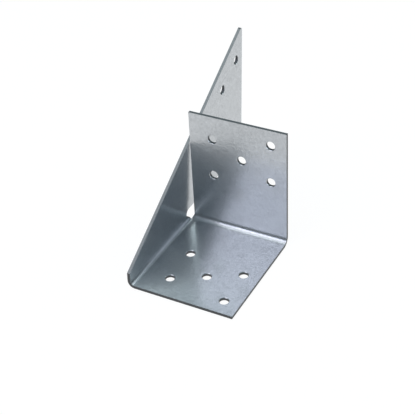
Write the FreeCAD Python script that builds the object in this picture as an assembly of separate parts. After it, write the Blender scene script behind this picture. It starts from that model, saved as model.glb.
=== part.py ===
# Framing bracket: one sheet of galvanised steel, folded into a base, an upright plate and a side gusset.
# Drawn with X from the gusset to the free edge, Y from the front edge to the back, and Z up from the underside.
import FreeCAD, Part
import os
from math import atan2, cos, sin, tan

Vector = FreeCAD.Vector
ALONG_X = Vector(1, 0, 0)
ALONG_Y = Vector(0, 1, 0)
ALONG_Z = Vector(0, 0, 1)

# Sheet and folds, in millimetres and degrees
SHEET = 1.5
GUSSET_BEND = 2.0  # inside radius of the gusset's fold
PLATE_BEND = 3.0  # inside radius of the plate's fold
SQUARE = 90.0
PAST_SQUARE = 2.0  # how far the gusset is folded in over the base

# Base and plate, outside to outside
BASE_WIDTH = 53.5
BASE_DEPTH = 60.0
PLATE_HEIGHT = 62.0
PLATE_LEFT = 3.55  # from the gusset's outer side to the plate's near edge
FOLD_FLARE = 1.0  # how far the plate's fold reaches past that edge

# Gusset, measured in its own plane
GUSSET_LENGTH = 115.0
GUSSET_HEIGHT = 80.5
FRONT_HEIGHT = 8.0
TIP_RADIUS = 1.0

# Slot that parts the gusset's rear half from the base and plate, its round end a sheet before the plate's bend
SLOT_EDGE_HEIGHT = 7.5
SLOT_WIDTH = 5.2

# Nail holes, with the rolled rim on the punched side drawn as a bevel
HOLE_RADIUS = 2.25
RIM_BEVEL = 0.2

# Staggered pattern of the base and the plate
HOLES_ACROSS = 30.0
HOLES_ALONG = 20.0
HOLES_STAGGER = 4.0
PATTERN_FROM_GUSSET = 30.5
PATTERN_FROM_EDGE = 20.0

# Gusset's holes: a row beside the slope, and a shorter row straight below its front holes
ROW_FROM_SLOPE = 9.9
ROW_FROM_BACK = 6.5
ROW_PITCH = 17.5
ROW_COUNT = 3
LOWER_ROW_DROP = 0.375 * GUSSET_HEIGHT

# Where the flat parts meet the folds
GUSSET_OUTER = GUSSET_BEND + SHEET
PLATE_OUTER = PLATE_BEND + SHEET
GUSSET_BEND_AXIS = Vector(GUSSET_OUTER, 0, GUSSET_OUTER)
PLATE_BEND_Y = BASE_DEPTH - PLATE_OUTER
SLOT_START_Y = PLATE_BEND_Y - SHEET
SLOT_CENTRE_Y = SLOT_START_Y + SLOT_WIDTH / 2
FOLD_LEFT = PLATE_LEFT - FOLD_FLARE
PLATE_FRONT = BASE_DEPTH - SHEET
SLOPE = atan2(GUSSET_HEIGHT - FRONT_HEIGHT, GUSSET_LENGTH)

TOUCHING = 1e-6  # points closer than this are one point


def rounded_face(corners):
    """Flat face inside a closed outline of (point, radius) corners, where a radius of 0 is a sharp corner."""
    turns = []
    for i, (corner, radius) in enumerate(corners):
        back = (corners[i - 1][0] - corner).normalize()
        ahead = (corners[(i + 1) % len(corners)][0] - corner).normalize()
        half_angle = back.getAngle(ahead) / 2
        reach = radius / tan(half_angle)
        middle = corner + (back + ahead).normalize() * (radius / sin(half_angle) - radius)
        turns.append((corner + back * reach, middle, corner + ahead * reach))
    edges = []
    for i, (arrive, middle, leave) in enumerate(turns):
        last_leave = turns[i - 1][2]
        if last_leave.distanceToPoint(arrive) > TOUCHING:
            edges.append(Part.makeLine(last_leave, arrive))
        if arrive.distanceToPoint(leave) > TOUCHING:
            edges.append(Part.Arc(arrive, middle, leave).toShape())
    return Part.Face(Part.Wire(edges))


def nail_punch():
    """Cutter for one nail hole, pointing down from the sheet's punched face at Z = 0."""
    hole = Part.makeCylinder(HOLE_RADIUS, 3 * SHEET, Vector(0, 0, -2 * SHEET))
    rim = Part.makeCone(HOLE_RADIUS, HOLE_RADIUS + 2 * RIM_BEVEL, 2 * RIM_BEVEL, Vector(0, 0, -RIM_BEVEL))
    return hole.fuse(rim)


def punched(sheet, spots, punched_side):
    """The sheet with a nail hole at each spot, its bevelled rim on the given side."""
    punches = []
    for spot in spots:
        punch = nail_punch()
        punch.Placement = FreeCAD.Placement(spot, FreeCAD.Rotation(ALONG_Z, punched_side))
        punches.append(punch)
    return sheet.cut(punches)


def staggered_pattern():
    """(across, away) offsets of a plate's holes from its middle one, away being away from the plate's fold."""
    offsets = [(0.0, 0.0)]
    for side in (-0.5, 0.5):
        for row in (-0.5, 0.5):
            offsets.append((side * HOLES_ACROSS, row * HOLES_ALONG + side * HOLES_STAGGER))
    return offsets


def base():
    """Flat base between the two folds and its free edges."""
    flat = Part.makeBox(BASE_WIDTH - GUSSET_OUTER, PLATE_BEND_Y, SHEET, Vector(GUSSET_OUTER, 0, 0))
    middle = Vector(PATTERN_FROM_GUSSET, PATTERN_FROM_EDGE, SHEET)
    spots = [middle + Vector(across, -away, 0) for across, away in staggered_pattern()]
    return punched(flat, spots, ALONG_Z)


def plate_fold():
    """Fold between the base and the plate, flared at its foot towards the gusset."""
    seam = rounded_face([
        (Vector(FOLD_LEFT, PLATE_BEND_Y, 0), 0),
        (Vector(BASE_WIDTH, PLATE_BEND_Y, 0), 0),
        (Vector(BASE_WIDTH, PLATE_BEND_Y, SHEET), 0),
        (Vector(FOLD_LEFT, PLATE_BEND_Y, SHEET), 0),
    ])
    fold = seam.revolve(Vector(0, PLATE_BEND_Y, PLATE_OUTER), ALONG_X, SQUARE)
    flare = rounded_face([
        (Vector(FOLD_LEFT, PLATE_BEND_Y, SHEET), 0),
        (Vector(PLATE_LEFT, PLATE_BEND_Y, GUSSET_OUTER), 0),
        (Vector(PLATE_LEFT, PLATE_BEND_Y, PLATE_OUTER), 0),
        (Vector(FOLD_LEFT, PLATE_BEND_Y, PLATE_OUTER), 0),
    ])
    return fold.cut(flare.extrude(ALONG_Y * PLATE_OUTER))


def plate():
    """Flat upright plate above its fold."""
    width = BASE_WIDTH - PLATE_LEFT
    rise = PLATE_HEIGHT - PLATE_OUTER
    flat = Part.makeBox(width, SHEET, rise, Vector(PLATE_LEFT, PLATE_FRONT, PLATE_OUTER))
    middle = Vector(PATTERN_FROM_GUSSET, PLATE_FRONT, PLATE_HEIGHT - PATTERN_FROM_EDGE)
    spots = [middle + Vector(across, 0, away) for across, away in staggered_pattern()]
    return punched(flat, spots, ALONG_Y * -1)


def gusset_fold():
    """Fold between the base and the gusset, from the front edge to the middle of the slot's round end."""
    seam = rounded_face([
        (Vector(GUSSET_OUTER, 0, 0), 0),
        (Vector(GUSSET_OUTER, SLOT_CENTRE_Y, 0), 0),
        (Vector(GUSSET_OUTER, SLOT_CENTRE_Y, SHEET), 0),
        (Vector(GUSSET_OUTER, 0, SHEET), 0),
    ])
    return seam.revolve(GUSSET_BEND_AXIS, ALONG_Y, SQUARE + PAST_SQUARE)


def gusset_spots():
    """Nail holes on the gusset's inner face: the row beside the slope, then the lower row."""
    row = []
    for i in range(ROW_COUNT):
        y = GUSSET_LENGTH - ROW_FROM_BACK - i * ROW_PITCH * cos(SLOPE)
        z = FRONT_HEIGHT + y * tan(SLOPE) - ROW_FROM_SLOPE / cos(SLOPE)
        row.append(Vector(SHEET, y, z))
    return row + [spot - ALONG_Z * LOWER_ROW_DROP for spot in row[1:]]


def gusset_flat():
    """Flat gusset above its fold, standing square."""
    flat = rounded_face([
        (Vector(0, 0, GUSSET_OUTER), 0),
        (Vector(0, 0, FRONT_HEIGHT), 0),
        (Vector(0, GUSSET_LENGTH, GUSSET_HEIGHT), TIP_RADIUS),
        (Vector(0, GUSSET_LENGTH, GUSSET_OUTER), 0),
    ]).extrude(ALONG_X * SHEET)
    return punched(flat, gusset_spots(), ALONG_X)


def slot():
    """Cutter for the slot, which runs out through the gusset's back edge."""
    slot_floor = SLOT_EDGE_HEIGHT - SLOT_WIDTH
    return rounded_face([
        (Vector(-SHEET, SLOT_START_Y, SLOT_EDGE_HEIGHT), SLOT_WIDTH / 2),
        (Vector(-SHEET, SLOT_START_Y, slot_floor), SLOT_WIDTH / 2),
        (Vector(-SHEET, GUSSET_LENGTH + SHEET, slot_floor), 0),
        (Vector(-SHEET, GUSSET_LENGTH + SHEET, SLOT_EDGE_HEIGHT), 0),
    ]).extrude(ALONG_X * (GUSSET_OUTER + SHEET))


def gusset():
    """Gusset and its fold, leaned in past square, with the slot cut across both."""
    flat = gusset_flat()
    cutter = slot()
    for shape in (flat, cutter):
        shape.rotate(GUSSET_BEND_AXIS, ALONG_Y, PAST_SQUARE)
    return gusset_fold().fuse(flat).cut(cutter)


def bracket():
    """The folded sheet as one solid, with its origin under the base's middle nail hole."""
    folded = base().fuse([plate_fold(), plate(), gusset()]).removeSplitter()
    folded.translate(Vector(-PATTERN_FROM_GUSSET, -PATTERN_FROM_EDGE, 0))
    return folded.Solids[0]


os.makedirs("parts", exist_ok=True)
bracket().exportStep("parts/framing_bracket.step")
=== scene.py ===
# Framing bracket of galvanised sheet: its finish, a studio floor and light, and the camera. Sizes in metres.
from math import cos, radians, sin

import bmesh
import bpy
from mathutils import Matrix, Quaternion, Vector

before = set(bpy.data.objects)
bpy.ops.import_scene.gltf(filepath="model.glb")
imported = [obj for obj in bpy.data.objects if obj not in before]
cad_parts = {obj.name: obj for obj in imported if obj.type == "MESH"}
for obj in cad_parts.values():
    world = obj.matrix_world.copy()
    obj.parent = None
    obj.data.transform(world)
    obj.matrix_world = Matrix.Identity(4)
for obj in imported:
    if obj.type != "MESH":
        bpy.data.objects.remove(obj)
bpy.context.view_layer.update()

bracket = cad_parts["framing_bracket"]

# Widths under which a face of the bracket is a hole's rim or a cut edge, the rest being folds and flats
RIM_WIDTH = 0.0005
EDGE_WIDTH = 0.0018

# Sides faced by the edges that get painted light, and the least dot product that counts as facing one
SLOPE_SIDE = Vector((0.0, -0.53, 0.85))  # the gusset's slope, and nearly enough the plate's top edge
GUSSET_SIDE = Vector((-1.0, 0.0, 0.0))  # the plate's near edge
SAME_SIDE = 0.8

# Slots of the bracket's materials, in the order in which they are added
SHEET_SLOT, CUT_SLOT, PAINTED_LIGHT_SLOT, PAINTED_HIGHLIGHT_SLOT = range(4)

# Zinc coat, with the swing of its brightness and of its share of sharp gloss about their means
ZINC = (0.525, 0.545, 0.562)
SHARP_ROUGHNESS = 0.16
SOFT_ROUGHNESS = 0.40
SHARP_SHARE = 0.45
SHARP_SWING = 0.20
GRAIN_SIZE = 0.0012
GRAIN_DETAIL = 3
GRAIN_SWING = 0.30
GRAIN_DEPTH = 0.0001
GRAIN_STRENGTH = 0.5
SPANGLE_SIZE = 0.003
SPANGLE_SWING = 0.04
WAVE_SIZE = 0.018
WAVE_DETAIL = 2
WAVE_DEPTH = 0.0002
WAVE_STRENGTH = 0.08

# Sheared edges, with a finer and shallower grain: bare steel partly darkened with painted shade, a lighter
# copy with painted light on the gusset's slope and the plate's top edge, and a painted highlight on the
# plate's near edge
# Bare steel of the cut: partly its own dark grey, partly painted shade
CUT_STEEL_AND_SHADE = (0.08, 0.084, 0.088)
# Painted light: a lighter grey for the edges that face up into the light, on the gusset's slope and the
# plate's top
EDGE_PAINTED_LIGHT = (0.22, 0.23, 0.23)
# Painted highlight: near white on the plate's near edge, in the gap by the gusset
EDGE_PAINTED_HIGHLIGHT = (0.90, 0.90, 0.90)
CUT_ROUGHNESS = 0.42
CUT_GRAIN_SIZE = GRAIN_SIZE / 2
CUT_GRAIN_DEPTH = 0.00005
CUT_GRAIN_STRENGTH = 0.3

# Studio
FLOOR_SIZE = 6.0
FLOOR_WHITE = 0.8
FLOOR_GLOW = 0.88
GLOW_STRENGTH = 1.06
ROOM_COLOUR = (0.70, 0.88, 1.0)
HORIZON_STRENGTH = 0.03
ZENITH_STRENGTH = 0.62

# Lamps round the bracket: bearing from straight in front towards +X, height in degrees, power in watts
BRACKET_MIDDLE = Vector((0.0, 0.02, 0.02))
LAMP_DISTANCE = 1.0
LAMPS = {
    "key": {"bearing": -30, "height": 36, "size": 0.50, "power": 1.10, "colour": (0.83, 0.84, 1.0)},
    "high_key": {"bearing": -30, "height": 55, "size": 0.80, "power": 2.10, "colour": (1.0, 0.94, 1.0)},
    "left": {"bearing": -120, "height": 62, "size": 0.70, "power": 1.50, "colour": (0.90, 0.97, 0.95)},
    "right": {"bearing": 50, "height": 22, "size": 0.40, "power": 1.15, "colour": (0.83, 0.89, 1.0)},
    "rim": {"bearing": 150, "height": 36, "size": 0.50, "power": 1.90, "colour": (0.90, 1.0, 1.0)},
}

# Camera: angles in degrees, focal length in pixels of the square picture, sensor in millimetres
CAMERA_PLACE = (0.1871, -0.3261, 0.3113)
CAMERA_AZIMUTH = 29.53
CAMERA_ELEVATION = 35.75
CAMERA_ROLL = -3.16
NEAREST_SEEN = 0.01
PICTURE_SIZE = 415
FOCAL_PIXELS = 1053.0
SENSOR_WIDTH = 36.0


def node(tree, kind, values=None, **settings):
    """New shader node with its settings and the values of its inputs."""
    made = tree.nodes.new(kind)
    for name, value in settings.items():
        setattr(made, name, value)
    for name, value in (values or {}).items():
        made.inputs[name].default_value = value
    return made


def empty_tree(owner):
    """The owner's node tree with nothing in it."""
    owner.use_nodes = True
    owner.node_tree.nodes.clear()
    return owner.node_tree


def spread(tree, source, low, high):
    """Maps a value of 0 to 1 onto low to high."""
    ramp = node(tree, "ShaderNodeMapRange", {"To Min": low, "To Max": high})
    tree.links.new(source, ramp.inputs["Value"])
    return ramp.outputs["Result"]


def swinging(tree, source, mean, swing):
    """Maps a value of 0 to 1 onto a swing to either side of a mean."""
    return spread(tree, source, mean - swing, mean + swing)


def combined(tree, operation, first, second):
    """The result of an operation on two values."""
    maths = node(tree, "ShaderNodeMath", operation=operation)
    tree.links.new(first, maths.inputs[0])
    tree.links.new(second, maths.inputs[1])
    return maths.outputs["Value"]


def tinted(tree, colour, brightness):
    """The colour times a varying brightness."""
    scale = node(tree, "ShaderNodeVectorMath", {0: colour}, operation="SCALE")
    tree.links.new(brightness, scale.inputs["Scale"])
    return scale.outputs["Vector"]


def new_material(name):
    """Empty material: returns it with its tree, its surface socket and the place on the object."""
    material = bpy.data.materials.new(name)
    tree = empty_tree(material)
    surface = node(tree, "ShaderNodeOutputMaterial").inputs["Surface"]
    place = node(tree, "ShaderNodeTexCoord").outputs["Object"]
    return material, tree, surface, place


def metal(tree, colour, normal, roughness):
    """Shader of bare metal with a varying colour and normal."""
    shader = node(tree, "ShaderNodeBsdfPrincipled", {"Metallic": 1.0, "Roughness": roughness})
    tree.links.new(colour, shader.inputs["Base Color"])
    tree.links.new(normal, shader.inputs["Normal"])
    return shader.outputs["BSDF"]


def noise(tree, place, size, detail):
    """Smooth noise with blotches of about the given size."""
    texture = node(tree, "ShaderNodeTexNoise", {"Scale": 1 / size, "Detail": detail})
    tree.links.new(place, texture.inputs["Vector"])
    return texture.outputs["Fac"]


def bumps(tree, height, depth, strength, normal=None):
    """Normal of a surface with bumps of the given depth, on top of the bumps in a given normal."""
    bump = node(tree, "ShaderNodeBump", {"Strength": strength, "Distance": depth})
    tree.links.new(height, bump.inputs["Height"])
    if normal:
        tree.links.new(normal, bump.inputs["Normal"])
    return bump.outputs["Normal"]


def galvanised_sheet():
    """Zinc coat: a sharp gloss and a soft one in fine grains, with faint spangle and a slight waviness."""
    material, tree, surface, place = new_material("galvanised_sheet")
    grain = noise(tree, place, GRAIN_SIZE, GRAIN_DETAIL)
    spangle = node(tree, "ShaderNodeTexVoronoi", {"Scale": 1 / SPANGLE_SIZE})
    tree.links.new(place, spangle.inputs["Vector"])
    grain_shade = swinging(tree, grain, 1.0, GRAIN_SWING)
    spangle_shade = swinging(tree, spangle.outputs["Color"], 1.0, SPANGLE_SWING)
    colour = tinted(tree, ZINC, combined(tree, "MULTIPLY", grain_shade, spangle_shade))
    waves = bumps(tree, noise(tree, place, WAVE_SIZE, WAVE_DETAIL), WAVE_DEPTH, WAVE_STRENGTH)
    normal = bumps(tree, grain, GRAIN_DEPTH, GRAIN_STRENGTH, waves)
    mix = node(tree, "ShaderNodeMixShader")
    tree.links.new(swinging(tree, grain, SHARP_SHARE, SHARP_SWING), mix.inputs["Fac"])
    tree.links.new(metal(tree, colour, normal, SOFT_ROUGHNESS), mix.inputs[1])
    tree.links.new(metal(tree, colour, normal, SHARP_ROUGHNESS), mix.inputs[2])
    tree.links.new(mix.outputs["Shader"], surface)
    return material


def sheared_edge(name, colour):
    """Torn grain of a sheared edge or a punched hole's wall."""
    material, tree, surface, place = new_material(name)
    grain = noise(tree, place, CUT_GRAIN_SIZE, GRAIN_DETAIL)
    shade = tinted(tree, colour, swinging(tree, grain, 1.0, GRAIN_SWING))
    normal = bumps(tree, grain, CUT_GRAIN_DEPTH, CUT_GRAIN_STRENGTH)
    tree.links.new(metal(tree, shade, normal, CUT_ROUGHNESS), surface)
    return material


def joined_faces(shape):
    """Groups of the mesh's faces that hang together, each one face of the solid."""
    seen = set()
    for first in shape.faces:
        if first in seen:
            continue
        seen.add(first)
        group = [first]
        for face in group:
            for vertex in face.verts:
                fresh = [other for other in vertex.link_faces if other not in seen]
                seen.update(fresh)
                group.extend(fresh)
        yield group


def strip_width(group):
    """Width of a group of faces, taken as a long strip."""
    area = sum(face.calc_area() for face in group)
    borders = {edge for face in group for edge in face.edges if edge.is_boundary}
    return 2 * area / sum(edge.calc_length() for edge in borders)


def finish_of(group):
    """Slot of a group's material: the sheet's, or that of a cut edge, with painted light or shade chosen by
    the side it faces.
    """
    if not RIM_WIDTH < strip_width(group) < EDGE_WIDTH:
        return SHEET_SLOT
    facing = sum((face.normal for face in group), Vector()) / len(group)
    # Painted light on edges facing the slope side, a painted highlight on those facing the gusset, and steel
    # with painted shade on the rest
    if facing.dot(SLOPE_SIDE) > SAME_SIDE:
        return PAINTED_LIGHT_SLOT
    return PAINTED_HIGHLIGHT_SLOT if facing.dot(GUSSET_SIDE) > SAME_SIDE else CUT_SLOT


def dress_bracket():
    """Zinc on the sheet's faces and hole rims, painted light on the edges facing the slope side, a painted
    highlight on the plate's near edge, and bare steel with painted shade on hole walls and other edges.
    """
    materials = bracket.data.materials
    materials.clear()
    materials.append(galvanised_sheet())
    # Edge finishes: bare steel partly darkened with painted shade, then copies with painted light and with a
    # painted highlight
    materials.append(sheared_edge("cut_edge_and_shade", CUT_STEEL_AND_SHADE))
    materials.append(sheared_edge("painted_light_edge", EDGE_PAINTED_LIGHT))
    materials.append(sheared_edge("painted_highlight_edge", EDGE_PAINTED_HIGHLIGHT))
    shape = bmesh.new()
    shape.from_mesh(bracket.data)
    for group in joined_faces(shape):
        finish = finish_of(group)
        for face in group:
            bracket.data.polygons[face.index].material_index = finish
    shape.free()


def shown_directly(tree):
    """1 for rays from the camera, a glossy face or a clear one, else 0."""
    path = node(tree, "ShaderNodeLightPath")
    shown = path.outputs["Is Camera Ray"]
    for name in ("Is Glossy Ray", "Is Transmission Ray"):
        shown = combined(tree, "MAXIMUM", shown, path.outputs[name])
    return shown


def studio_floor():
    """White floor that glows where it is seen, and keeps a part of its shading for the shadow."""
    bpy.ops.mesh.primitive_plane_add(size=FLOOR_SIZE)
    floor = bpy.context.object
    floor.name = "floor"
    material = bpy.data.materials.new("floor_white")
    tree = empty_tree(material)
    paint = node(tree, "ShaderNodeBsdfDiffuse", {"Color": (FLOOR_WHITE, FLOOR_WHITE, FLOOR_WHITE, 1.0)})
    glow = node(tree, "ShaderNodeEmission", {"Strength": GLOW_STRENGTH})
    mix = node(tree, "ShaderNodeMixShader")
    share = node(tree, "ShaderNodeMath", {1: FLOOR_GLOW}, operation="MULTIPLY")
    output = node(tree, "ShaderNodeOutputMaterial")
    tree.links.new(shown_directly(tree), share.inputs[0])
    tree.links.new(share.outputs["Value"], mix.inputs["Fac"])
    tree.links.new(paint.outputs["BSDF"], mix.inputs[1])
    tree.links.new(glow.outputs["Emission"], mix.inputs[2])
    tree.links.new(mix.outputs["Shader"], output.inputs["Surface"])
    floor.data.materials.append(material)


def studio_room():
    """Soft light from all round, dimmer towards the horizon."""
    world = bpy.data.worlds.new("studio")
    bpy.context.scene.world = world
    tree = empty_tree(world)
    direction = node(tree, "ShaderNodeSeparateXYZ")
    tree.links.new(node(tree, "ShaderNodeTexCoord").outputs["Generated"], direction.inputs["Vector"])
    strength = spread(tree, direction.outputs["Z"], HORIZON_STRENGTH, ZENITH_STRENGTH)
    light = node(tree, "ShaderNodeBackground", {"Color": (*ROOM_COLOUR, 1.0)})
    tree.links.new(strength, light.inputs["Strength"])
    output = node(tree, "ShaderNodeOutputWorld")
    tree.links.new(light.outputs["Background"], output.inputs["Surface"])


def softbox(name, bearing, height, size, power, colour):
    """Square soft lamp that faces the bracket."""
    lamp = bpy.data.lights.new(name, "AREA")
    lamp.shape = "SQUARE"
    lamp.size = size
    lamp.energy = power
    lamp.color = colour
    turn = radians(bearing)
    rise = radians(height)
    out = Vector((sin(turn) * cos(rise), -cos(turn) * cos(rise), sin(rise)))
    holder = bpy.data.objects.new(name, lamp)
    holder.location = BRACKET_MIDDLE + LAMP_DISTANCE * out
    holder.rotation_mode = "QUATERNION"
    holder.rotation_quaternion = (-out).to_track_quat("-Z", "Y")
    bpy.context.scene.collection.objects.link(holder)


def place_camera():
    """Camera at the place from which the photograph was taken."""
    lens = bpy.data.cameras.new("camera")
    lens.sensor_width = SENSOR_WIDTH
    lens.lens = SENSOR_WIDTH * FOCAL_PIXELS / PICTURE_SIZE
    lens.clip_start = NEAREST_SEEN
    camera = bpy.data.objects.new("camera", lens)
    azimuth = radians(CAMERA_AZIMUTH)
    elevation = radians(CAMERA_ELEVATION)
    ahead = Vector((-sin(azimuth) * cos(elevation), cos(azimuth) * cos(elevation), -sin(elevation)))
    camera.location = CAMERA_PLACE
    camera.rotation_mode = "QUATERNION"
    camera.rotation_quaternion = Quaternion(ahead, radians(-CAMERA_ROLL)) @ ahead.to_track_quat("-Z", "Y")
    bpy.context.scene.collection.objects.link(camera)
    bpy.context.scene.camera = camera


bpy.context.scene.view_settings.view_transform = "Standard"
dress_bracket()
studio_floor()
studio_room()
for lamp_name, lamp_settings in LAMPS.items():
    softbox(lamp_name, **lamp_settings)
place_camera()
